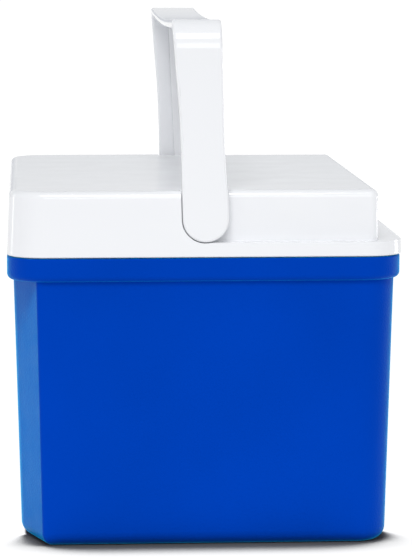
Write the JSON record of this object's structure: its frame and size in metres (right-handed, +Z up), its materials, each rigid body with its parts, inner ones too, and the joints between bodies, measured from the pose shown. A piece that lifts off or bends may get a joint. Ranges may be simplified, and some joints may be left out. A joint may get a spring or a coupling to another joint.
{
  "type": "cooler chest",
  "caption": "Hard-sided insulated cooler chest with a thick rim, bevelled front panel, hinged white lid and a swing handle that folds flush into the lid.",
  "frame": {"origin": "middle of the base, on the surface that the chest stands on; in plan it is the middle of the rim, so the hinges reach further from it at the back", "axes": "+Z up; -X the front with the bevelled panel; +X the back with the hinges; Y along the chest, with -Y the end nearest the viewer in the picture"},
  "size_m": [0.2605, 0.332, 0.3399],
  "materials": {
    "body_blue": "fine-grained moulded polyethylene",
    "plug_blue": "smooth moulded",
    "lid_white": "glossy moulded",
    "handle_white": "glossy moulded",
    "liner_white": "satin moulded",
    "hinge_white": "satin moulded nylon",
    "screw_steel": "plain stainless",
    "foam": "open-cut polyurethane foam"
  },
  "bodies": {
    "chest": {"outer_shell": "body_blue", "rim_band": "body_blue", "inner_liner": "liner_white", "body_insulation": "foam", "base_foam_plugs": "plug_blue", "body_hinge_leaf_near": "hinge_white", "body_hinge_leaf_far": "hinge_white", "body_hinge_screws": "screw_steel", "hinge_pin_near": "screw_steel", "hinge_pin_far": "screw_steel"},
    "lid": {"lid_shell": "lid_white", "lid_pan": "liner_white", "lid_insulation": "foam", "lid_foam_plug": "hinge_white", "lid_hinge_leaf_near": "hinge_white", "lid_hinge_leaf_far": "hinge_white", "lid_hinge_screws": "screw_steel"},
    "handle": {"handle_bail": "handle_white", "pivot_pin_near": "handle_white", "pivot_pin_far": "handle_white", "pin_retainer_near": "screw_steel", "pin_retainer_far": "screw_steel"}
  },
  "joints": [
    {"name": "lid_hinge", "type": "hinge", "parent": "chest", "child": "lid", "pos_m": [0.13045, 0, 0.1883], "axis": [0, 1, 0], "range_deg": [0, 100]},
    {"name": "handle_swing", "type": "hinge", "parent": "lid", "child": "handle", "pos_m": [0, 0, 0.213], "axis": [0, 1, 0], "range_deg": [0, 90]}
  ]
}
